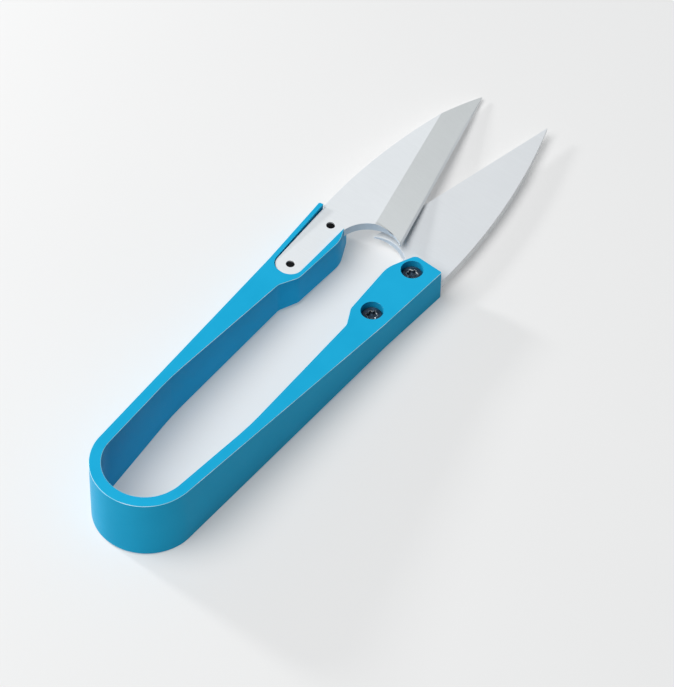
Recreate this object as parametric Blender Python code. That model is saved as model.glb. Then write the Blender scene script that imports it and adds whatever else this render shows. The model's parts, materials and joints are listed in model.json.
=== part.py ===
"""Thread snips: a U-shaped blue anodised spring handle with two screwed-on steel blades."""
import math

import bmesh
import bpy
from mathutils import Matrix, Vector

# ---------------------------------------------------------------- driving dimensions (mm, degrees)
MM = 0.001

BEND_OUTER_R = 9.83        # outside radius of the round spring bend
WALL = 2.11                # thickness of the strip in the bend and the thin part of the arms
SPLAY = 3.35               # each arm leans outwards by this angle
BEND_HALF_Z = 6.72         # half the height of the handle at the bend
PAD_HALF_Z = 3.35          # half the height of the handle at the blade pads
TAPER_START_X = -2.25      # the height starts to taper here
TAPER_END_X = 52.07        # and is constant from here forwards
SPLIT_GAP = 0.24           # saw line between the bend and each arm, at the hinge

WIDEN_START = 18.4         # along the arm: the wall starts to widen

STEP_FOOT = (47.6, 7.62)   # S-step from the arm's inner edge to the pad
STEP_CREST = (51.2, 5.80)
PAD_NOSE = (62.9, 5.21)    # where the pad's inner edge turns away
PAD_FRONT_IN = (68.35, 7.72)
PAD_FRONT_OUT = (67.98, 13.86)
PAD_OUT_R = 0.4            # rounding of the corners of the arm's plan, from front to rear
PAD_FRONT_R = 1.3
PAD_NOSE_R = 6.0
STEP_R = 2.2
WIDEN_R = 60.0

SCREW_X = (53.12, 65.20)   # rear and front screws
SCREW_Y = 9.16
COUNTERBORE_R = 2.08
HEAD_R = 1.90
HEAD_H = 1.35
HEAD_RECESS = 1.10         # head top below the pad's face
SHANK_R = 0.76
PAD_HOLE_R = 1.05
TANG_HOLE_R = 0.81
TORX_R = 1.02
TORX_DEPTH = 0.75
TORX_LOBES = 6
TORX_WAVE = 0.135          # depth of the waves between the lobes, as a share of the radius
SEAT_GAP = 0.04            # clearance under each screw head

BLADE_T = 1.75
BLADE_PITCH = 2.15         # blade plane against the handle's mid-plane
TIP = (110.15, 7.36)
TIP_RISE = -0.73           # blade's inner face against the mid-plane at the tip: the set
EDGE_SLOPE = 14.65         # cutting edge against the long axis, in plan
NOTCH_C = (64.80, 0.30)
NOTCH_R = 6.30
SPINE_TOP = (74.0, 13.20)
SPINE_R = 117.4
TANG_REAR_X = 50.60
TANG_IN_Y = 6.66
TANG_FRONT_X = 65.4        # where the tang meets the notch
TANG_DEPTH = 0.98          # tang's outer edge, in from the arm's outer face
TANG_END_R = 2.40          # the tang's round rear end
SHOULDER_X = 68.20
BEVEL_A = (70.8, 3.10)     # upper border of the ground bevel
BEVEL_B = (99.5, 9.80)
EDGE_LAND_HEEL = 0.34      # height of the honed strip at the heel
EDGE_LAND_TIP = 0.16
BLADE_HEEL_X = 70.0        # the ground bevel runs from here to the tip
BLADE_SLICE = 4.2          # spacing of the cross lines that carry the bevel
HONED_WIDTH = 0.42         # the honed strip, narrowing towards the tip by HONED_TAPER
HONED_TAPER = 0.05
SHOULDER_DROP = 0.12       # the shoulder stands this far below the spine's top

RIB = 0.84                 # pad wall outside the pocket
POCKET_REAR_X = 50.45
POCKET_IN_Y = 6.50
POCKET_END_R = 2.60
POCKET_OPEN_X = 72.0       # the cutter runs out in front of the pad
POCKET_FLOOR_GAP = 0.06

REST_TILT = 2.735          # the snips lie on the bend's edge and the pads' front edge
EDGE_BREAK = 0.22

# rest position: the bend's lower edge and the pads' lower front edges lie on z = 0,
# with the middle of the length over the origin
TILT = Matrix.Rotation(math.radians(REST_TILT), 4, "Y")


def rest_matrix():
    pad_edge = TILT @ Vector((PAD_FRONT_IN[0], 0.0, -PAD_HALF_Z))
    bend_edge = TILT @ Vector((TAPER_START_X, 0.0, -BEND_HALF_Z))
    lift = -min(pad_edge.z, bend_edge.z)
    back = TILT @ Vector((-BEND_OUTER_R, 0.0, EDGE_BREAK - BEND_HALF_Z))
    front = TILT @ Vector((TIP[0], 0.0, -TIP_RISE))
    move = Matrix.Translation(Vector((-(back.x + front.x) / 2.0, 0.0, lift)))
    scale = Matrix.Scale(MM, 4)
    return scale @ move @ TILT


REST = rest_matrix()
FLIP = Matrix.Rotation(math.pi, 4, "X")

# ---------------------------------------------------------------- helpers

for old in list(bpy.data.objects):
    bpy.data.objects.remove(old, do_unlink=True)


def half_z(x):
    if x <= TAPER_START_X:
        return BEND_HALF_Z
    if x >= TAPER_END_X:
        return PAD_HALF_Z
    f = (x - TAPER_START_X) / (TAPER_END_X - TAPER_START_X)
    return BEND_HALF_Z + (PAD_HALF_Z - BEND_HALF_Z) * f


def rounded(points, radii, step=12.0):
    """Polygon with each corner replaced by a tangent arc of its own radius."""
    out = []
    count = len(points)
    for i in range(count):
        p = Vector(points[i])
        r = radii[i]
        if r <= 0.0:
            out.append(p)
            continue
        a = (Vector(points[i - 1]) - p).normalized()
        b = (Vector(points[(i + 1) % count]) - p).normalized()
        half = a.angle(b) / 2.0
        reach = r / math.tan(half)
        centre = p + (a + b).normalized() * (r / math.sin(half))
        start = p + a * reach - centre
        end = p + b * reach - centre
        sweep = start.angle_signed(end)
        parts = max(2, int(math.ceil(math.degrees(abs(sweep)) / step)))
        for k in range(parts + 1):
            turn = Matrix.Rotation(-sweep * k / parts, 2)
            out.append(centre + turn @ start)
    return out


def prism(outline, low, high):
    """Solid between two heights from a plan outline (counter-clockwise or not)."""
    bm = bmesh.new()
    ring = [bm.verts.new((p[0], p[1], low)) for p in outline]
    face = bm.faces.new(ring)
    grown = bmesh.ops.extrude_face_region(bm, geom=[face])
    top = [v for v in grown["geom"] if isinstance(v, bmesh.types.BMVert)]
    for v in top:
        v.co.z = high
    bmesh.ops.recalc_face_normals(bm, faces=bm.faces[:])
    return bm


def split_at(bm, point, normal):
    geom = bm.verts[:] + bm.edges[:] + bm.faces[:]
    bmesh.ops.bisect_plane(bm, geom=geom, plane_co=point, plane_no=normal, dist=1e-5)


def material(name, colour, metallic, rough):
    mat = bpy.data.materials.new(name)
    mat.use_nodes = True
    shader = mat.node_tree.nodes["Principled BSDF"]
    shader.inputs["Base Color"].default_value = (colour[0], colour[1], colour[2], 1.0)
    shader.inputs["Metallic"].default_value = metallic
    shader.inputs["Roughness"].default_value = rough
    mat.diffuse_color = (colour[0], colour[1], colour[2], 1.0)
    return mat


def finish(bm, name, pivot, mat, flip=False):
    """Make the object: mesh in metres, in the rest position, with its origin on the pivot."""
    mesh = bpy.data.meshes.new(name)
    place = REST @ FLIP if flip else REST
    origin = place @ Vector(pivot)
    bm.transform(Matrix.Translation(-origin) @ place)
    bmesh.ops.recalc_face_normals(bm, faces=bm.faces[:])
    bm.to_mesh(mesh)
    bm.free()
    obj = bpy.data.objects.new(name, mesh)
    obj.location = origin
    bpy.context.scene.collection.objects.link(obj)
    if mat is not None:
        mesh.materials.append(mat)
    return obj


def smooth_round(obj, limit=35.0):
    for poly in obj.data.polygons:
        poly.use_smooth = True
    bm = bmesh.new()
    bm.from_mesh(obj.data)
    for edge in bm.edges:
        if len(edge.link_faces) == 2 and math.degrees(edge.calc_face_angle(0.0)) > limit:
            edge.smooth = False
    bm.to_mesh(obj.data)
    bm.free()


def cut(obj, cutter):
    cutter.hide_render = True
    cutter.display_type = "WIRE"
    mod = obj.modifiers.new("cut_" + cutter.name, "BOOLEAN")
    mod.operation = "DIFFERENCE"
    mod.solver = "EXACT"
    mod.object = cutter


def break_edges(obj, width, segments=1):
    mod = obj.modifiers.new("edges", "BEVEL")
    mod.width = width * MM
    mod.segments = segments
    mod.limit_method = "ANGLE"
    mod.angle_limit = math.radians(40.0)


def circle(cx, cy, r, count):
    pts = []
    for k in range(count):
        t = 2.0 * math.pi * k / count
        pts.append((cx + r * math.cos(t), cy + r * math.sin(t)))
    return pts


# ---------------------------------------------------------------- the handle

PHI = math.radians(SPLAY)
ALONG = Vector((math.cos(PHI), math.sin(PHI)))
OUTWARD = Vector((-math.sin(PHI), math.cos(PHI)))
MID_R = BEND_OUTER_R - WALL / 2.0
HINGE = (OUTWARD.x * MID_R, OUTWARD.y * MID_R, 0.0)


def arm_point(along, depth):
    """Point on the left arm: distance along it, and depth in from its outer face."""
    return OUTWARD * (BEND_OUTER_R - depth) + ALONG * along


def arm_outline():
    start = SPLIT_GAP / 2.0
    points = [
        arm_point(start, 0.0),
        PAD_FRONT_OUT,
        PAD_FRONT_IN,
        PAD_NOSE,
        STEP_CREST,
        STEP_FOOT,
        arm_point(WIDEN_START, WALL),
        arm_point(start, WALL),
    ]
    radii = [0.0, PAD_OUT_R, PAD_FRONT_R, PAD_NOSE_R, STEP_R, STEP_R, WIDEN_R, 0.0]
    return rounded(points, radii)


def bend_outline():
    lean = math.degrees(SPLIT_GAP / 2.0 / MID_R)
    first = 90.0 + SPLAY + lean
    last = 270.0 - SPLAY - lean
    steps = 40
    outer = []
    inner = []
    for k in range(steps + 1):
        t = math.radians(first + (last - first) * k / steps)
        ray = Vector((math.cos(t), math.sin(t)))
        outer.append(ray * BEND_OUTER_R)
        inner.append(ray * (BEND_OUTER_R - WALL))
    return outer + inner[::-1]


def handle_solid(outline):
    bm = prism(outline, -1.0, 1.0)
    for x in (TAPER_START_X, TAPER_END_X):
        split_at(bm, (x, 0.0, 0.0), (1.0, 0.0, 0.0))
    for v in bm.verts:
        v.co.z = math.copysign(half_z(v.co.x), v.co.z)
    return bm


# ---------------------------------------------------------------- the blade (left one)

EDGE_DIR = Vector((math.cos(math.radians(EDGE_SLOPE)), math.sin(math.radians(EDGE_SLOPE))))


def blade_low(x):
    """Height of the blade's inner face: the face that slides on the other blade."""
    return TIP_RISE + (TIP[0] - x) * math.tan(math.radians(BLADE_PITCH))


def spine_y(x):
    return SPINE_TOP[1] - SPINE_R + math.sqrt(SPINE_R ** 2 - (x - SPINE_TOP[0]) ** 2)


def heel():
    """Where the cutting edge's line leaves the notch circle."""
    tip = Vector(TIP)
    centre = Vector(NOTCH_C)
    rel = tip - centre
    b = rel.dot(EDGE_DIR)
    c = rel.length_squared - NOTCH_R ** 2
    back = b - math.sqrt(b * b - c)
    return tip - EDGE_DIR * back


def blade_outline():
    foot = heel()
    centre = Vector(NOTCH_C)
    first = math.asin((TANG_IN_Y - centre.y) / (NOTCH_R + 0.3))
    last = math.atan2(foot.y - centre.y, foot.x - centre.x)
    points = []
    steps = 22
    for k in range(steps + 1):
        t = first + (last - first) * k / steps
        points.append(centre + Vector((math.cos(t), math.sin(t))) * NOTCH_R)
    points.append(Vector(TIP))
    x = TIP[0] - 0.12
    while x > SPINE_TOP[0] + 1.0:
        points.append(Vector((x, spine_y(x))))
        x -= 3.0
    shoulder = arm_point(SHOULDER_X, TANG_DEPTH)
    rear = arm_point(TANG_REAR_X, TANG_DEPTH)
    tail = [
        SPINE_TOP,
        (SHOULDER_X, SPINE_TOP[1] - SHOULDER_DROP),
        (SHOULDER_X, shoulder.y),
        (TANG_REAR_X, rear.y),
        (TANG_REAR_X, TANG_IN_Y),
        (TANG_FRONT_X, TANG_IN_Y),
    ]
    points += rounded(tail, [0.0, 0.12, 0.10, TANG_END_R, TANG_END_R, 0.0])
    return points


BEVEL_DIR = (Vector(BEVEL_B) - Vector(BEVEL_A)).normalized()
BEVEL_N = Vector((BEVEL_DIR.y, -BEVEL_DIR.x))       # towards the cutting edge
EDGE_N = Vector((EDGE_DIR.y, -EDGE_DIR.x))


def bevel_height(x, y):
    """Thickness of the blade at a point of its plan."""
    p = Vector((x, y))
    past = (p - Vector(BEVEL_A)).dot(BEVEL_N)
    if past <= 0.0:
        return BLADE_T
    to_edge = -(p - Vector(TIP)).dot(EDGE_N)
    f = (x - BLADE_HEEL_X) / (TIP[0] - BLADE_HEEL_X)
    land = EDGE_LAND_HEEL + (EDGE_LAND_TIP - EDGE_LAND_HEEL) * f
    share = max(to_edge, 0.0) / (max(to_edge, 0.0) + past)
    return land + (BLADE_T - land) * share


def blade_solid():
    bm = prism(blade_outline(), 0.0, BLADE_T)
    split_at(bm, (BEVEL_A[0], BEVEL_A[1], 0.0), (BEVEL_N.x, BEVEL_N.y, 0.0))
    x = BLADE_HEEL_X + 1.5
    while x < TIP[0] - 1.0:
        split_at(bm, (x, 0.0, 0.0), (1.0, 0.0, 0.0))
        x += BLADE_SLICE
    for v in bm.verts:
        if v.co.z > BLADE_T / 2.0:
            v.co.z = bevel_height(v.co.x, v.co.y)
    # the honed strip: the upper edge moves in, so that the edge itself is sharp
    for v in bm.verts:
        to_edge = -(Vector((v.co.x, v.co.y)) - Vector(TIP)).dot(EDGE_N)
        if v.co.z > 0.05 and to_edge < 0.02 and BLADE_HEEL_X - 1.0 < v.co.x < TIP[0] - 0.5:
            back = min(HONED_WIDTH, HONED_TAPER * (TIP[0] - v.co.x))
            v.co.x -= EDGE_N.x * back
            v.co.y -= EDGE_N.y * back
    for v in bm.verts:
        v.co.z += blade_low(v.co.x)
    return bm


# ---------------------------------------------------------------- the screws and the cutters

SEAT_Z = -(PAD_HALF_Z - HEAD_RECESS - HEAD_H)       # left arm: screws enter from below


def lathe(profile, cx, cy, count=40):
    """Solid of revolution about a vertical line; the profile starts and ends on the axis."""
    bm = bmesh.new()
    rings = []
    for r, z in profile:
        if r <= 0.0:
            rings.append([bm.verts.new((cx, cy, z))])
        else:
            rings.append([bm.verts.new((px, py, z)) for px, py in circle(cx, cy, r, count)])
    for low, high in zip(rings, rings[1:]):
        for k in range(count):
            n = (k + 1) % count
            if len(low) == 1:
                bm.faces.new((low[0], high[n], high[k]))
            elif len(high) == 1:
                bm.faces.new((low[k], low[n], high[0]))
            else:
                bm.faces.new((low[k], low[n], high[n], high[k]))
    return bm


def screw_solid(cx, cy):
    head_top = SEAT_Z - HEAD_H
    end = blade_low(cx) + BLADE_T - 0.12
    profile = [
        (0.0, head_top),
        (HEAD_R - 0.28, head_top),
        (HEAD_R, head_top + 0.26),
        (HEAD_R, SEAT_Z),
        (SHANK_R, SEAT_Z),
        (SHANK_R, end - 0.2),
        (SHANK_R - 0.2, end),
        (0.0, end),
    ]
    return lathe(profile, cx, cy)


def torx_solid(cx, cy):
    outline = []
    for k in range(48):
        t = 2.0 * math.pi * k / 48
        r = TORX_R * (1.0 - TORX_WAVE + TORX_WAVE * math.cos(TORX_LOBES * t))
        outline.append((cx + r * math.cos(t), cy + r * math.sin(t)))
    head_top = SEAT_Z - HEAD_H
    return prism(outline, head_top - 0.5, head_top + TORX_DEPTH)


def bore_solid(cx, cy, hole_r):
    profile = [
        (0.0, -PAD_HALF_Z - 1.0),
        (COUNTERBORE_R, -PAD_HALF_Z - 1.0),
        (COUNTERBORE_R, SEAT_Z + SEAT_GAP),
        (hole_r, SEAT_Z + SEAT_GAP),
        (hole_r, PAD_HALF_Z + 1.0),
        (0.0, PAD_HALF_Z + 1.0),
    ]
    return lathe(profile, cx, cy)


def hole_solid(cx, cy, hole_r):
    profile = [
        (0.0, -2.0),
        (hole_r, -2.0),
        (hole_r, PAD_HALF_Z + 1.0),
        (0.0, PAD_HALF_Z + 1.0),
    ]
    return lathe(profile, cx, cy)


def pocket_solid():
    """Room for the tang: open upwards and at the pad's front."""
    rear_out = arm_point(POCKET_REAR_X, RIB)
    front_out = arm_point(POCKET_OPEN_X, RIB)
    points = [
        (POCKET_REAR_X, POCKET_IN_Y + 0.05),
        (POCKET_OPEN_X, POCKET_IN_Y - 0.05),
        (front_out.x, front_out.y),
        (POCKET_REAR_X, rear_out.y),
    ]
    bm = prism(rounded(points, [POCKET_END_R, 0.0, 0.0, POCKET_END_R]), -1.0, 1.0)
    for v in bm.verts:
        if v.co.z > 0.0:
            v.co.z = PAD_HALF_Z + 2.0
        else:
            v.co.z = blade_low(v.co.x) - POCKET_FLOOR_GAP
    return bm


# ---------------------------------------------------------------- build

CYAN = (0.016, 0.36, 0.68)
STEEL = (0.70, 0.72, 0.73)
BLACK = (0.018, 0.018, 0.02)

bend = finish(handle_solid(bend_outline()), "spring_bend", (0.0, 0.0, 0.0),
              material("bend_blue_anodised", CYAN, 0.9, 0.38))
smooth_round(bend)
break_edges(bend, EDGE_BREAK)

for side, flip in (("left", False), ("right", True)):
    arm = finish(handle_solid(arm_outline()), side + "_arm", HINGE,
                 material(side + "_arm_blue_anodised", CYAN, 0.9, 0.38), flip)
    smooth_round(arm)
    pocket = finish(pocket_solid(), side + "_pocket_cutter", HINGE, None, flip)
    cut(arm, pocket)
    blade = finish(blade_solid(), side + "_blade", HINGE,
                   material(side + "_blade_steel", STEEL, 1.0, 0.28), flip)
    for place, sx in zip(("rear", "front"), SCREW_X):
        bore = finish(bore_solid(sx, SCREW_Y, PAD_HOLE_R), side + "_" + place + "_bore_cutter",
                      HINGE, None, flip)
        cut(arm, bore)
        hole = finish(hole_solid(sx, SCREW_Y, TANG_HOLE_R), side + "_" + place + "_hole_cutter",
                      HINGE, None, flip)
        cut(blade, hole)
        screw = finish(screw_solid(sx, SCREW_Y), side + "_" + place + "_screw", HINGE,
                       material(side + "_" + place + "_black_oxide", BLACK, 0.8, 0.35), flip)
        smooth_round(screw)
        torx = finish(torx_solid(sx, SCREW_Y), side + "_" + place + "_torx_cutter", HINGE,
                      None, flip)
        cut(screw, torx)
    break_edges(arm, EDGE_BREAK)
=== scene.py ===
"""Spring thread snips: blue anodised handle, satin steel blades and black screws."""
import json
import math

import bmesh
import bpy
from mathutils import Matrix, Vector


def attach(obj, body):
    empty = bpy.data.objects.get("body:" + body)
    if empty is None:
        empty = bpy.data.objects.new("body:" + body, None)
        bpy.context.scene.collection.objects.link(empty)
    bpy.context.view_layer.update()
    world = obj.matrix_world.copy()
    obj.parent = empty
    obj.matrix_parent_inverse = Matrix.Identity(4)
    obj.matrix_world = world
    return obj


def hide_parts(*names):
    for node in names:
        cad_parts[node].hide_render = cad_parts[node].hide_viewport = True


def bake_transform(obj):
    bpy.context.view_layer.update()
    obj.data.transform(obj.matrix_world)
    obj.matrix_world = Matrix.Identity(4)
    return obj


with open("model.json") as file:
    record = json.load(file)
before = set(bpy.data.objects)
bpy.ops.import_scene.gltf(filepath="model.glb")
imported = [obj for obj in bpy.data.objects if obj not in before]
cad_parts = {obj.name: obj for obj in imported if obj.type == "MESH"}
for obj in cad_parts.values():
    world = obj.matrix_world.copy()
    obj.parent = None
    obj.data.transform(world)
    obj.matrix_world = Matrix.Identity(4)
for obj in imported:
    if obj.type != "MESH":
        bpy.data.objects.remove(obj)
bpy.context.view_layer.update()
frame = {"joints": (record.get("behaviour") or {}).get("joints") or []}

MM = 0.001

# ---------------------------------------------------------------- the snips' own axes
# The snips lie slightly tilted on the surface. In their own axes, in mm, x runs from the
# centre of the bend to the tips, y to the left arm, and z = 0 is the plane between the blades.

JOINTS = {j["name"]: j for j in frame["joints"]}
LEFT_HINGE = Vector(JOINTS["left_arm_flex"]["pos_m"]) / MM
TURN_AXIS = Vector(JOINTS["right_arm_flex"]["axis"])

BEND_OUTER_R = 9.83
WALL = 2.11
SPLAY = math.radians(3.35)
ALONG = Vector((math.cos(SPLAY), math.sin(SPLAY)))
OUTWARD = Vector((-math.sin(SPLAY), math.cos(SPLAY)))
HINGE = OUTWARD * (BEND_OUTER_R - WALL / 2.0)

TILT = Matrix.Rotation(math.atan2(TURN_AXIS.x, TURN_AXIS.z), 4, "Y")
OFFSET = LEFT_HINGE - TILT @ Vector((HINGE.x, HINGE.y, 0.0))
REST = Matrix.Scale(MM, 4) @ Matrix.Translation(OFFSET) @ TILT
FLIP = Matrix.Rotation(math.pi, 4, "X")          # takes the left half to the right half

# ---------------------------------------------------------------- dimensions, mm
BEND_HALF_Z = 6.72
PAD_HALF_Z = 3.35
TAPER_START_X = -2.25
TAPER_END_X = 52.07
WIDEN_START = 18.4
STEP_FOOT = (47.6, 7.62)
STEP_CREST = (51.2, 5.80)
PAD_NOSE = (62.9, 5.21)
PAD_FRONT_IN = (68.35, 7.72)
PAD_FRONT_OUT = (67.98, 13.86)
PAD_OUT_R = 0.40            # rounding of the corners of the arm's plan, from front to rear
PAD_FRONT_R = 1.3
PAD_NOSE_R = 6.0
STEP_R = 2.2
WIDEN_R = 60.0
EDGE_BREAK = 0.22           # outer edges of the handle
INNER_EDGE_BREAK = 0.06     # edges of the pockets and counterbores
SEAM_HALF = 0.03            # extra cuts beside the middle of the bend
FLEX_CUT = 1.5              # spacing of the cross cuts that let them bend
FLEX_FIRST_X = -7.5
FLEX_LAST_X = 46.0

SCREW_X = (53.12, 65.20)
SCREW_Y = 9.16
COUNTERBORE_R = 2.08
HEAD_R = 1.90
HEAD_H = 1.35
HEAD_RECESS = 1.10
SHANK_R = 0.76
PAD_HOLE_R = 1.05
TANG_HOLE_R = 0.81
TORX_R = 1.02
TORX_DEPTH = 0.75
TORX_LOBES = 6.0
TORX_MEAN = 0.865           # middle radius between lobes and valleys, as a share of TORX_R
TORX_WAVE = 0.135
TORX_RIM = 0.13             # rubbed bevel round the star, speckled bright as painted glints
THREAD_PITCH = 0.4
THREAD_DEPTH = 0.12
SEAT_GAP = 0.04
CUT_PAST = 1.0              # cutters reach this far past the pad
SEAT_Z = -(PAD_HALF_Z - HEAD_RECESS - HEAD_H)

BLADE_T = 1.75
BLADE_PITCH = math.radians(2.15)
TIP = Vector((110.15, 7.36))
TIP_RISE = -0.73
EDGE_SLOPE = math.radians(14.65)
EDGE_DIR = Vector((math.cos(EDGE_SLOPE), math.sin(EDGE_SLOPE)))
EDGE_N = Vector((EDGE_DIR.y, -EDGE_DIR.x))
NOTCH_C = Vector((64.80, 0.30))
NOTCH_R = 6.30
SPINE_TOP = Vector((74.0, 13.20))
SPINE_R = 117.4
TANG_REAR_X = 50.60
TANG_IN_Y = 6.66
TANG_DEPTH = 1.04
TANG_END_R = 2.40
TANG_FRONT_X = 65.4
SHOULDER_X = 68.20
SHOULDER_DROP = 0.12
SHOULDER_RADII = (0.12, 0.10)
BEVEL_A = Vector((70.8, 3.10))
BEVEL_B = Vector((99.5, 9.80))
BEVEL_DIR = (BEVEL_B - BEVEL_A).normalized()
BEVEL_N = Vector((BEVEL_DIR.y, -BEVEL_DIR.x))
EDGE_LAND_HEEL = 0.34
EDGE_LAND_TIP = 0.16
BLADE_EDGE_BREAK = 0.06
BLADE_HEEL_X = 70.0         # the ground bevel runs from here to the tip
BLADE_FIRST_CUT_X = 71.2    # cross cuts that carry the bevel
BLADE_CUT = 1.4
SPINE_CUT = 0.9
HONED_WIDTH = 0.42          # the honed strip, which narrows towards the tip
HONED_TAPER = 0.05
HONED_REACH = 0.3
BEVEL, HONED_PAINTED_SHADE, INNER, NOTCH_PAINTED_SHADE, SPINE_PAINTED_LIGHT = range(1, 6)   # material slots of a blade; 0 is its flat; the honed strip and the notch walls are tinted darker as painted shade, the spine wall lighter as painted light
RUBBED_AND_GLINT, DULL = range(1, 3)                       # material slots of a screw; 0 is its head; the rim slot carries painted glints

RIB = 0.84
RIB_END_R = 0.38
POCKET_REAR_X = 50.45
POCKET_IN_Y = 6.50
POCKET_END_R = 2.60
POCKET_SLANT = 0.05
POCKET_OPEN_X = 72.0        # the cutter runs out in front of the pad
POCKET_FLOOR_GAP = 0.06


# ---------------------------------------------------------------- mesh helpers

def half_z(x):
    if x <= TAPER_START_X:
        return BEND_HALF_Z
    if x >= TAPER_END_X:
        return PAD_HALF_Z
    f = (x - TAPER_START_X) / (TAPER_END_X - TAPER_START_X)
    return BEND_HALF_Z + (PAD_HALF_Z - BEND_HALF_Z) * f


def rounded(points, radii, step=4.0):
    """Polygon with each corner replaced by a tangent arc of its own radius."""
    out = []
    count = len(points)
    for i in range(count):
        p = Vector(points[i])
        r = radii[i]
        if r <= 0.0:
            out.append(p)
            continue
        a = (Vector(points[i - 1]) - p).normalized()
        b = (Vector(points[(i + 1) % count]) - p).normalized()
        half = a.angle(b) / 2.0
        reach = r / math.tan(half)
        centre = p + (a + b).normalized() * (r / math.sin(half))
        start = p + a * reach - centre
        end = p + b * reach - centre
        sweep = start.angle_signed(end)
        parts = max(2, int(math.ceil(math.degrees(abs(sweep)) / step)))
        for k in range(parts + 1):
            out.append(centre + Matrix.Rotation(-sweep * k / parts, 2) @ start)
    return out


def prism(outline, low, high):
    bm = bmesh.new()
    face = bm.faces.new([bm.verts.new((p[0], p[1], low)) for p in outline])
    grown = bmesh.ops.extrude_face_region(bm, geom=[face])
    for v in grown["geom"]:
        if isinstance(v, bmesh.types.BMVert):
            v.co.z = high
    bmesh.ops.recalc_face_normals(bm, faces=bm.faces[:])
    return bm


def split_at(bm, point, normal):
    geom = bm.verts[:] + bm.edges[:] + bm.faces[:]
    bmesh.ops.bisect_plane(bm, geom=geom, plane_co=point, plane_no=normal, dist=1e-5)


def lathe(profile, cx, cy, count=72):
    """Solid of revolution about a vertical line; the profile starts and ends on the axis."""
    bm = bmesh.new()
    rings = []
    for r, z in profile:
        ring = []
        for k in range(count if r > 0.0 else 1):
            t = 2.0 * math.pi * k / count
            ring.append(bm.verts.new((cx + r * math.cos(t), cy + r * math.sin(t), z)))
        rings.append(ring)
    for low, high in zip(rings, rings[1:]):
        for k in range(count):
            n = (k + 1) % count
            if len(low) == 1:
                bm.faces.new((low[0], high[n], high[k]))
            elif len(high) == 1:
                bm.faces.new((low[k], low[n], high[0]))
            else:
                bm.faces.new((low[k], low[n], high[n], high[k]))
    bmesh.ops.recalc_face_normals(bm, faces=bm.faces[:])
    return bm


def to_object(bm, name):
    """Object in the snips' own millimetres; place() takes it to the row frame."""
    mesh = bpy.data.meshes.new(name)
    bmesh.ops.recalc_face_normals(bm, faces=bm.faces[:])
    bm.to_mesh(mesh)
    bm.free()
    obj = bpy.data.objects.new(name, mesh)
    bpy.context.scene.collection.objects.link(obj)
    return obj


def apply_modifiers(obj):
    bpy.context.view_layer.update()
    graph = bpy.context.evaluated_depsgraph_get()
    done = bpy.data.meshes.new_from_object(obj.evaluated_get(graph))
    old = obj.data
    obj.modifiers.clear()
    obj.data = done
    bpy.data.meshes.remove(old)


def carve(obj, cutters):
    for cutter in cutters:
        mod = obj.modifiers.new("cut", "BOOLEAN")
        mod.operation = "DIFFERENCE"
        mod.solver = "EXACT"
        mod.object = cutter
    apply_modifiers(obj)
    for cutter in cutters:
        bpy.data.objects.remove(cutter, do_unlink=True)


def break_edges(obj, width, segments, angle=35.0, slot=-1):
    mod = obj.modifiers.new("edges", "BEVEL")
    mod.width = width
    mod.material = slot
    mod.segments = segments
    mod.limit_method = "ANGLE"
    mod.angle_limit = math.radians(angle)
    mod.use_clamp_overlap = True
    apply_modifiers(obj)


def shade(obj, angle=32.0):
    """Smooth shading with flat faces kept flat, and sharp edges kept sharp."""
    for poly in obj.data.polygons:
        poly.use_smooth = True
    bm = bmesh.new()
    bm.from_mesh(obj.data)
    for edge in bm.edges:
        wide = len(edge.link_faces) != 2 or edge.calc_face_angle(0.0) > math.radians(angle)
        edge.smooth = not wide
    bm.to_mesh(obj.data)
    bm.free()
    mod = obj.modifiers.new("weights", "WEIGHTED_NORMAL")
    mod.keep_sharp = True
    apply_modifiers(obj)


def place(obj, flip=False):
    obj.data.transform(REST @ FLIP if flip else REST)
    return obj


# ---------------------------------------------------------------- materials

def material(name):
    mat = bpy.data.materials.new(name)
    mat.use_nodes = True
    nodes = mat.node_tree.nodes
    links = mat.node_tree.links
    return mat, nodes, links, nodes["Principled BSDF"]


def noise(nodes, links, coords, scale, detail, stretch=(1.0, 1.0, 1.0), turn=0.0):
    mapping = nodes.new("ShaderNodeMapping")
    mapping.inputs["Scale"].default_value = stretch
    mapping.inputs["Rotation"].default_value = (0.0, 0.0, turn)
    links.new(coords, mapping.inputs["Vector"])
    tex = nodes.new("ShaderNodeTexNoise")
    tex.inputs["Scale"].default_value = scale
    tex.inputs["Detail"].default_value = detail
    tex.inputs["Roughness"].default_value = 0.6
    links.new(mapping.outputs["Vector"], tex.inputs["Vector"])
    return tex


def ramp(nodes, links, value, stops):
    node = nodes.new("ShaderNodeValToRGB")
    while len(node.color_ramp.elements) < len(stops):
        node.color_ramp.elements.new(0.5)
    for element, (pos, colour) in zip(node.color_ramp.elements, stops):
        element.position = pos
        element.color = (colour[0], colour[1], colour[2], 1.0)
    links.new(value, node.inputs["Fac"])
    return node


def bump(nodes, links, value, distance, strength, below=None):
    node = nodes.new("ShaderNodeBump")
    node.inputs["Distance"].default_value = distance
    node.inputs["Strength"].default_value = strength
    links.new(value, node.inputs["Height"])
    if below is not None:
        links.new(below.outputs["Normal"], node.inputs["Normal"])
    return node


def anodised_blue():
    """Fine bead-blasted aluminium under a bright blue anodised layer."""
    mat, nodes, links, shader = material("blue_anodised")
    coords = nodes.new("ShaderNodeTexCoord").outputs["Object"]
    cloud = noise(nodes, links, coords, 90.0, 3.0)
    colour = ramp(nodes, links, cloud.outputs["Fac"],
                  [(0.30, (0.012, 0.380, 0.650)), (0.70, (0.016, 0.410, 0.690))])
    links.new(colour.outputs["Color"], shader.inputs["Base Color"])
    shader.inputs["Specular IOR Level"].default_value = 0.025
    grain = noise(nodes, links, coords, 5200.0, 2.0)
    rough = ramp(nodes, links, grain.outputs["Fac"],
                 [(0.30, (0.28, 0.28, 0.28)), (0.70, (0.38, 0.38, 0.38))])
    links.new(rough.outputs["Color"], shader.inputs["Roughness"])
    links.new(bump(nodes, links, grain.outputs["Fac"], 0.00004, 0.35).outputs["Normal"],
              shader.inputs["Normal"])
    return mat


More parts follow.
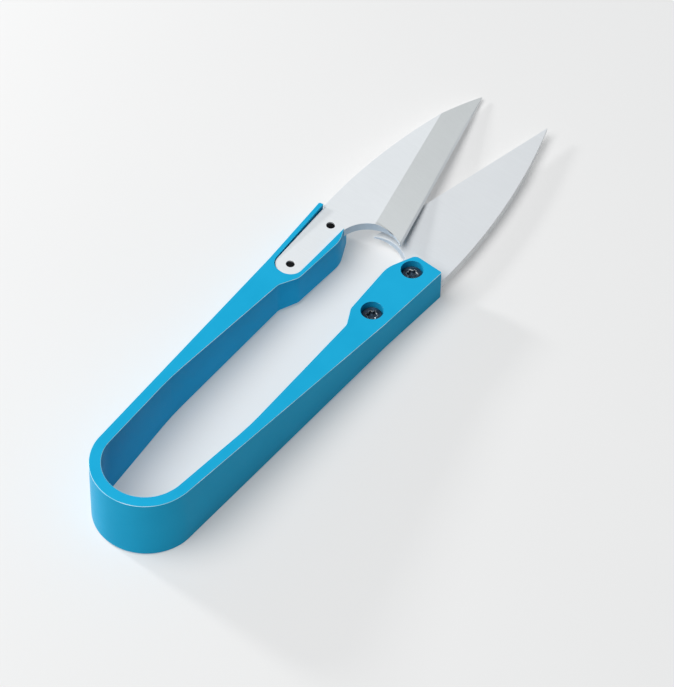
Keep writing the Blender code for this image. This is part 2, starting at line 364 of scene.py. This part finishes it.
def painted_highlight_edge_blue():
    """The machined edges of the handle, coloured pale cyan to near white as a painted highlight."""
    mat, nodes, links, shader = material("blue_edge_painted_highlight")
    coords = nodes.new("ShaderNodeTexCoord").outputs["Object"]
    highlight_noise = noise(nodes, links, coords, 260.0, 4.0)
    colour = ramp(nodes, links, highlight_noise.outputs["Fac"],
                  [(0.32, (0.26, 0.76, 0.88)), (0.62, (0.74, 0.95, 0.99))])
    links.new(colour.outputs["Color"], shader.inputs["Base Color"])
    shader.inputs["Metallic"].default_value = 0.15
    shader.inputs["Roughness"].default_value = 0.3
    return mat


def blade_steel(name, tint, grain_turn, rough_low, rough_high):
    """Ground steel: fine straight grinding lines across the face, faint cloudiness."""
    mat, nodes, links, shader = material(name)
    coords = nodes.new("ShaderNodeTexCoord").outputs["Object"]
    lines = noise(nodes, links, coords, 900.0, 4.0, (9.0, 0.25, 1.0), grain_turn)
    cloud = noise(nodes, links, coords, 70.0, 2.0)
    mix = nodes.new("ShaderNodeMix")
    mix.data_type = "FLOAT"
    mix.inputs["Factor"].default_value = 0.35
    links.new(lines.outputs["Fac"], mix.inputs["A"])
    links.new(cloud.outputs["Fac"], mix.inputs["B"])
    dark = [c * 0.955 for c in tint]
    colour = ramp(nodes, links, mix.outputs["Result"], [(0.35, dark), (0.65, tint)])
    links.new(colour.outputs["Color"], shader.inputs["Base Color"])
    shader.inputs["Metallic"].default_value = 0.1
    rough = ramp(nodes, links, lines.outputs["Fac"],
                 [(0.30, (rough_low,) * 3), (0.70, (rough_high,) * 3)])
    links.new(rough.outputs["Color"], shader.inputs["Roughness"])
    links.new(bump(nodes, links, lines.outputs["Fac"], 0.00002, 0.25).outputs["Normal"],
              shader.inputs["Normal"])
    return mat


def recess_steel():
    """Bare steel round the star recess, where the bit has rubbed the black off, speckled near white as
    painted glints.
    """
    mat, nodes, links, shader = material("rubbed_recess_steel_and_painted_glint")
    coords = nodes.new("ShaderNodeTexCoord").outputs["Object"]
    rub_and_glint = noise(nodes, links, coords, 2200.0, 3.0)
    colour = ramp(nodes, links, rub_and_glint.outputs["Fac"],
                  [(0.42, (0.05, 0.06, 0.07)), (0.58, (0.80, 0.84, 0.86))])
    links.new(colour.outputs["Color"], shader.inputs["Base Color"])
    shader.inputs["Metallic"].default_value = 0.3
    shader.inputs["Roughness"].default_value = 0.25
    return mat


def black_oxide(name, low, high, metallic, gloss, rough_low, rough_high):
    mat, nodes, links, shader = material(name)
    shader.inputs["Specular IOR Level"].default_value = gloss
    coords = nodes.new("ShaderNodeTexCoord").outputs["Object"]
    cloud = noise(nodes, links, coords, 900.0, 3.0)
    colour = ramp(nodes, links, cloud.outputs["Fac"],
                  [(0.35, low), (0.70, high)])
    links.new(colour.outputs["Color"], shader.inputs["Base Color"])
    shader.inputs["Metallic"].default_value = metallic
    rough = ramp(nodes, links, cloud.outputs["Fac"],
                 [(0.30, (rough_low,) * 3), (0.70, (rough_high,) * 3)])
    links.new(rough.outputs["Color"], shader.inputs["Roughness"])
    links.new(bump(nodes, links, cloud.outputs["Fac"], 0.00003, 0.3).outputs["Normal"],
              shader.inputs["Normal"])
    return mat


# ---------------------------------------------------------------- the handle

def arm_point(along, depth):
    return OUTWARD * (BEND_OUTER_R - depth) + ALONG * along


def handle_outline():
    """The whole U in plan: once round the outside, and back along the inside."""
    root = 0.05
    arm = rounded(
        [arm_point(root, 0.0), PAD_FRONT_OUT, PAD_FRONT_IN, PAD_NOSE, STEP_CREST,
         STEP_FOOT, arm_point(WIDEN_START, WALL), arm_point(root, WALL)],
        [0.0, PAD_OUT_R, PAD_FRONT_R, PAD_NOSE_R, STEP_R, STEP_R, WIDEN_R, 0.0])
    inner_arc = []
    outer_arc = []
    first = math.pi / 2.0 + SPLAY
    last = 1.5 * math.pi - SPLAY
    steps = 116
    for k in range(steps + 1):
        t = first + (last - first) * k / steps
        ray = Vector((math.cos(t), math.sin(t)))
        inner_arc.append(ray * (BEND_OUTER_R - WALL))
        outer_arc.append(ray * BEND_OUTER_R)
    mirrored = [Vector((p.x, -p.y)) for p in arm]
    return arm + inner_arc + mirrored[::-1] + outer_arc[::-1]


def blade_low(x):
    return TIP_RISE + (TIP.x - x) * math.tan(BLADE_PITCH)


def pocket_cutter(name):
    rear_out = arm_point(POCKET_REAR_X, RIB)
    front_out = arm_point(POCKET_OPEN_X, RIB)
    points = [(POCKET_REAR_X, POCKET_IN_Y + POCKET_SLANT), (POCKET_OPEN_X, POCKET_IN_Y - POCKET_SLANT),
              (front_out.x, front_out.y), (POCKET_REAR_X, rear_out.y)]
    bm = prism(rounded(points, [POCKET_END_R, 0.0, 0.0, POCKET_END_R]), -1.0, 1.0)
    for v in bm.verts:
        v.co.z = PAD_HALF_Z + 2.0 if v.co.z > 0.0 else blade_low(v.co.x) - POCKET_FLOOR_GAP
    return to_object(bm, name)


def bore_cutter(name, cx):
    low = -PAD_HALF_Z - CUT_PAST
    high = PAD_HALF_Z + CUT_PAST
    seat = SEAT_Z + SEAT_GAP
    profile = [(0.0, low), (COUNTERBORE_R, low), (COUNTERBORE_R, seat), (PAD_HOLE_R, seat),
               (PAD_HOLE_R, high), (0.0, high)]
    return to_object(lathe(profile, cx, SCREW_Y), name)


def half_of_handle(full, side, sign):
    """One half of the U, closed at the middle of the bend, with cuts where it flexes."""
    bm = bmesh.new()
    bm.from_mesh(full.data)
    geom = bm.verts[:] + bm.edges[:] + bm.faces[:]
    done = bmesh.ops.bisect_plane(bm, geom=geom, plane_co=(0.0, 0.0, 0.0), plane_no=(0.0, sign, 0.0),
                                  dist=1e-5, clear_inner=True)
    rim = [e for e in done["geom_cut"] if isinstance(e, bmesh.types.BMEdge)]
    bmesh.ops.holes_fill(bm, edges=rim, sides=0)
    half = to_object(bm, side + "_handle_half")
    for mat in full.data.materials:
        half.data.materials.append(mat)
    return half


def round_rib_ends(bm):
    """Rounds the free end of the thin rib beside each tang."""
    upright = []
    for edge in bm.edges:
        a, b = (v.co for v in edge.verts)
        if min(a.x, b.x) < 67.0 or abs(a.z - b.z) < 1.5:
            continue
        depth = BEND_OUTER_R - Vector((a.x, abs(a.y))).dot(OUTWARD)
        if abs(depth - RIB) < 0.05:
            upright.append(edge)
    bmesh.ops.bevel(bm, geom=upright, offset=RIB_END_R, segments=6, profile=0.5, affect="EDGES")


def handle():
    bm = prism(handle_outline(), -1.0, 1.0)
    for x in (TAPER_START_X, TAPER_END_X):
        split_at(bm, (x, 0.0, 0.0), (1.0, 0.0, 0.0))
    for v in bm.verts:
        v.co.z = math.copysign(half_z(v.co.x), v.co.z)
    full = to_object(bm, "handle_full")
    for mat in (anodised_blue(), painted_highlight_edge_blue()):
        full.data.materials.append(mat)
    # the bevel faces take slot 1, the edge material with its painted highlight
    break_edges(full, EDGE_BREAK, 3, slot=1)
    cutters = []
    for flip in (False, True):
        made = [pocket_cutter("pocket")]
        for x in SCREW_X:
            made.append(bore_cutter("bore", x))
        for cutter in made:
            if flip:
                cutter.data.transform(FLIP)
            cutters.append(cutter)
    carve(full, cutters)
    bm = bmesh.new()
    bm.from_mesh(full.data)
    round_rib_ends(bm)
    bm.to_mesh(full.data)
    bm.free()
    # these bevel faces also take slot 1, the painted highlight
    break_edges(full, INNER_EDGE_BREAK, 2, slot=1)
    bm = bmesh.new()
    bm.from_mesh(full.data)
    for y in (-SEAM_HALF, SEAM_HALF):
        split_at(bm, (0.0, y, 0.0), (0.0, 1.0, 0.0))
    x = FLEX_FIRST_X
    while x < FLEX_LAST_X:
        split_at(bm, (x, 0.0, 0.0), (1.0, 0.0, 0.0))
        x += FLEX_CUT
    bm.to_mesh(full.data)
    bm.free()
    for side, sign in (("left", 1.0), ("right", -1.0)):
        half = half_of_handle(full, side, sign)
        shade(half)
        place(half)
        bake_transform(half)
        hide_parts(side + "_arm", *(("spring_bend",) if side == "left" else ()))
    bpy.data.objects.remove(full, do_unlink=True)


# ---------------------------------------------------------------- the blades

def spine_y(x):
    return SPINE_TOP.y - SPINE_R + math.sqrt(SPINE_R ** 2 - (x - SPINE_TOP.x) ** 2)


def heel():
    rel = TIP - NOTCH_C
    b = rel.dot(EDGE_DIR)
    return TIP - EDGE_DIR * (b - math.sqrt(b * b - rel.length_squared + NOTCH_R ** 2))


def blade_outline():
    foot = heel() - NOTCH_C
    first = math.asin((TANG_IN_Y - NOTCH_C.y) / (NOTCH_R + 0.3))
    last = math.atan2(foot.y, foot.x)
    points = []
    steps = 48
    for k in range(steps + 1):
        t = first + (last - first) * k / steps
        points.append(NOTCH_C + Vector((math.cos(t), math.sin(t))) * NOTCH_R)
    points.append(TIP.copy())
    x = TIP.x - 0.12
    while x > SPINE_TOP.x + 1.0:
        points.append(Vector((x, spine_y(x))))
        x -= SPINE_CUT
    tail = rounded(
        [(SPINE_TOP.x, SPINE_TOP.y), (SHOULDER_X, SPINE_TOP.y - SHOULDER_DROP),
         (SHOULDER_X, arm_point(SHOULDER_X, TANG_DEPTH).y),
         (TANG_REAR_X, arm_point(TANG_REAR_X, TANG_DEPTH).y), (TANG_REAR_X, TANG_IN_Y),
         (TANG_FRONT_X, TANG_IN_Y)],
        [0.0, *SHOULDER_RADII, TANG_END_R, TANG_END_R, 0.0], 9.0)
    return points + tail


def bevel_height(x, y):
    p = Vector((x, y))
    past = (p - BEVEL_A).dot(BEVEL_N)
    if past <= 0.0:
        return BLADE_T
    to_edge = max(-(p - TIP).dot(EDGE_N), 0.0)
    f = (x - BLADE_HEEL_X) / (TIP.x - BLADE_HEEL_X)
    land = EDGE_LAND_HEEL + (EDGE_LAND_TIP - EDGE_LAND_HEEL) * f
    return land + (BLADE_T - land) * to_edge / (to_edge + past)


def above_edge(p):
    """Distance in plan from the line of the cutting edge."""
    return -(Vector((p.x, p.y)) - TIP).dot(EDGE_N)


def on_edge(v):
    return above_edge(v.co) < 0.02 and BLADE_HEEL_X - 1.0 < v.co.x < TIP.x - 0.5


def blade(side, flip, materials):
    bm = prism(blade_outline(), 0.0, BLADE_T)
    split_at(bm, (BEVEL_A.x, BEVEL_A.y, 0.0), (BEVEL_N.x, BEVEL_N.y, 0.0))
    x = BLADE_FIRST_CUT_X
    while x < TIP.x - BLADE_CUT / 2.0:
        split_at(bm, (x, 0.0, 0.0), (1.0, 0.0, 0.0))
        x += BLADE_CUT
    for v in bm.verts:
        if v.co.z > BLADE_T / 2.0:
            v.co.z = bevel_height(v.co.x, v.co.y)
            if on_edge(v):
                back = min(HONED_WIDTH, HONED_TAPER * (TIP.x - v.co.x))
                v.co.x -= EDGE_N.x * back
                v.co.y -= EDGE_N.y * back
    # the honed strip and the notch walls take steel darkened as painted shade, the spine wall steel
    # lightened as painted light
    for face in bm.faces:
        centre = face.calc_center_median()
        past = (Vector((centre.x, centre.y)) - BEVEL_A).dot(BEVEL_N)
        upright = abs(face.normal.z) < 0.2
        if past > 0.0 and face.normal.z > 0.2 and centre.x > BLADE_HEEL_X - 1.0:
            face.material_index = HONED_PAINTED_SHADE if above_edge(centre) < HONED_REACH else BEVEL
        elif face.normal.z < -0.9:
            face.material_index = INNER
        elif upright and (centre.xy - NOTCH_C).length < NOTCH_R + 0.1:
            face.material_index = NOTCH_PAINTED_SHADE
        elif upright and centre.x > SHOULDER_X and centre.y > TIP.y:
            face.material_index = SPINE_PAINTED_LIGHT
    for v in bm.verts:
        v.co.z += blade_low(v.co.x)
    obj = to_object(bm, side + "_blade_ground")
    for mat in materials:
        obj.data.materials.append(mat)
    cutters = []
    for x in SCREW_X:
        profile = [(0.0, -2.0), (TANG_HOLE_R, -2.0), (TANG_HOLE_R, PAD_HALF_Z + CUT_PAST),
                   (0.0, PAD_HALF_Z + CUT_PAST)]
        cutters.append(to_object(lathe(profile, x, SCREW_Y, 48), "hole"))
    carve(obj, cutters)
    break_edges(obj, BLADE_EDGE_BREAK, 2, 50.0)
    shade(obj, 5.0)
    place(obj, flip)
    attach(obj, side + "_half")
    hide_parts(side + "_blade")


# ---------------------------------------------------------------- the screws

def screw(side, where, x, flip, mats):
    top = SEAT_Z - HEAD_H
    end = blade_low(x) + BLADE_T - 0.12
    profile = [(0.0, top), (HEAD_R - 0.42, top), (HEAD_R - 0.26, top + 0.03),
               (HEAD_R - 0.10, top + 0.12), (HEAD_R - 0.02, top + 0.28), (HEAD_R, top + 0.42),
               (HEAD_R, SEAT_Z - 0.08), (HEAD_R - 0.08, SEAT_Z), (SHANK_R, SEAT_Z)]
    z = SEAT_Z + 0.9
    while z < end - 0.45:
        profile += [(SHANK_R, z), (SHANK_R - THREAD_DEPTH, z + THREAD_PITCH / 2.0)]
        z += THREAD_PITCH
    profile += [(SHANK_R, end - 0.2), (SHANK_R - 0.2, end), (0.0, end)]
    obj = to_object(lathe(profile, x, SCREW_Y), side + "_" + where + "_torx_screw")
    outline = []
    for k in range(96):
        t = 2.0 * math.pi * k / 96
        r = TORX_R * (TORX_MEAN + TORX_WAVE * math.cos(TORX_LOBES * t))
        outline.append((x + r * math.cos(t), SCREW_Y + r * math.sin(t)))
    for mat in mats:
        obj.data.materials.append(mat)
    recess = prism(outline, top - 0.5, top + TORX_DEPTH)
    carve(obj, [to_object(recess, "torx")])
    centre = Vector((x, SCREW_Y))
    bm = bmesh.new()
    bm.from_mesh(obj.data)
    rim = []
    for edge in bm.edges:
        a, b = (v.co for v in edge.verts)
        if max(abs(a.z - top), abs(b.z - top)) > 0.01:
            continue
        if max((a.xy - centre).length, (b.xy - centre).length) < TORX_R + 0.02:
            rim.append(edge)
    # the rim bevel takes the rubbed steel with its painted glints
    bmesh.ops.bevel(bm, geom=rim, offset=TORX_RIM, segments=1, affect="EDGES", material=RUBBED_AND_GLINT)
    for face in bm.faces:
        if face.calc_center_median().z > end - 0.25:
            face.material_index = DULL
    bm.to_mesh(obj.data)
    bm.free()
    break_edges(obj, 0.05, 2, 50.0)
    shade(obj, 40.0)
    place(obj, flip)
    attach(obj, side + "_half")
    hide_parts(side + "_" + where + "_screw")


# ---------------------------------------------------------------- stage, light, camera

def floor():
    bpy.ops.mesh.primitive_plane_add(size=6.0)
    plane = bpy.context.object
    plane.name = "floor"
    mat, nodes, links, shader = material("pale_floor")
    coords = nodes.new("ShaderNodeTexCoord").outputs["Object"]
    cloud = noise(nodes, links, coords, 6.0, 2.0)
    colour = ramp(nodes, links, cloud.outputs["Fac"],
                  [(0.3, (0.585, 0.58, 0.575)), (0.7, (0.605, 0.60, 0.595))])
    links.new(colour.outputs["Color"], shader.inputs["Base Color"])
    shader.inputs["Roughness"].default_value = 0.6
    shader.inputs["Emission Color"].default_value = (1.0, 1.0, 1.0, 1.0)
    shader.inputs["Emission Strength"].default_value = 0.23
    plane.data.materials.append(mat)


CAM_AZ = math.radians(53.81)
CAM_EL = math.radians(50.60)
CAM_ROLL = math.radians(0.95)
CAM_DISTANCE = 754.2
CAM_TARGET = Vector((45.46, -7.13, 0.0))
CAM_FOCAL = 4230.0 / 674.0          # focal length over image width


def view_axes():
    """The camera's right, up and back, and the two directions across the floor."""
    right = Vector((math.cos(CAM_AZ), -math.sin(CAM_AZ), 0.0))
    away = Vector((math.sin(CAM_AZ), math.cos(CAM_AZ), 0.0))
    up = Vector((0.0, 0.0, 1.0))
    back = -math.cos(CAM_EL) * away + math.sin(CAM_EL) * up
    over = math.sin(CAM_EL) * away + math.cos(CAM_EL) * up
    cam_right = math.cos(CAM_ROLL) * right + math.sin(CAM_ROLL) * over
    cam_up = -math.sin(CAM_ROLL) * right + math.cos(CAM_ROLL) * over
    return cam_right, cam_up, back, right, away


def camera():
    cam_right, cam_up, back, _, _ = view_axes()
    turn = TILT.to_3x3()
    axes = Matrix((turn @ cam_right, turn @ cam_up, turn @ back)).transposed()
    where = REST @ (CAM_TARGET + back * CAM_DISTANCE)
    data = bpy.data.cameras.new("camera")
    data.sensor_fit = "HORIZONTAL"
    data.sensor_width = 36.0
    data.lens = 36.0 * CAM_FOCAL
    data.clip_start = 0.05
    data.clip_end = 20.0
    cam = bpy.data.objects.new("camera", data)
    cam.matrix_world = Matrix.Translation(where) @ axes.to_4x4()
    bpy.context.scene.collection.objects.link(cam)
    bpy.context.scene.camera = cam


def area_light(name, direction, distance, size, power):
    """Soft light aimed at the middle of the snips from a direction in the row frame."""
    data = bpy.data.lights.new(name, "AREA")
    data.shape = "DISK"
    data.size = size
    data.energy = power
    lamp = bpy.data.objects.new(name, data)
    lamp.location = direction.normalized() * distance
    lamp.rotation_euler = direction.normalized().to_track_quat("Z", "Y").to_euler()
    bpy.context.scene.collection.objects.link(lamp)


def from_sky(turn, height):
    """Direction in the row frame: turn from the image's left (0) to its far side (90)."""
    _, _, _, right, away = view_axes()
    flat = -right * math.cos(math.radians(turn)) + away * math.sin(math.radians(turn))
    return flat * math.cos(math.radians(height)) + Vector((0.0, 0.0, math.sin(math.radians(height))))


def light():
    area_light("main", from_sky(-16.0, 64.0), 2.2, 2.0, 51.0)
    area_light("key", from_sky(31.0, 19.3), 0.43, 0.055, 0.82)
    world = bpy.data.worlds.new("studio")
    bpy.context.scene.world = world
    world.use_nodes = True
    sky = world.node_tree.nodes["Background"]
    sky.inputs["Color"].default_value = (0.80, 0.92, 1.0, 1.0)
    sky.inputs["Strength"].default_value = 0.13
    bpy.context.scene.view_settings.view_transform = "Standard"


# ---------------------------------------------------------------- build
camera()
light()
floor()
handle()
steel = [
    blade_steel("blade_flat_steel", (0.850, 0.875, 0.895), math.radians(12.0), 0.42, 0.52),
    blade_steel("blade_bevel_steel", (0.865, 0.890, 0.890), math.radians(14.0), 0.42, 0.52),
    # darker grey steel on the honed strip: painted shade
    blade_steel("blade_edge_steel_painted_shade", (0.360, 0.370, 0.380), math.radians(14.0), 0.30, 0.40),
    blade_steel("blade_inner_steel", (0.765, 0.785, 0.805), math.radians(100.0), 0.40, 0.50),
    # blue-grey steel on the notch walls: painted shade
    blade_steel("blade_notch_steel_painted_shade", (0.620, 0.680, 0.740), math.radians(0.0), 0.35, 0.45),
    # brighter steel on the spine wall: painted light
    blade_steel("blade_spine_steel_painted_light", (0.960, 0.970, 0.980), math.radians(0.0), 0.35, 0.45),
]
oxide = [
    # the head: black oxide, its colour lifted to blue-grey as painted sheen
    black_oxide("black_oxide", (0.038, 0.058, 0.082), (0.100, 0.150, 0.210), 0.6, 0.5,
                0.16, 0.30),
    recess_steel(),
    black_oxide("dull_screw_end", (0.003, 0.003, 0.004), (0.009, 0.009, 0.010), 0.0, 0.1,
                0.55, 0.70),
]
for hand, over_turned in (("left", False), ("right", True)):
    blade(hand, over_turned, steel)
    for spot, screw_x in zip(("rear", "front"), SCREW_X):
        screw(hand, spot, screw_x, over_turned, oxide)
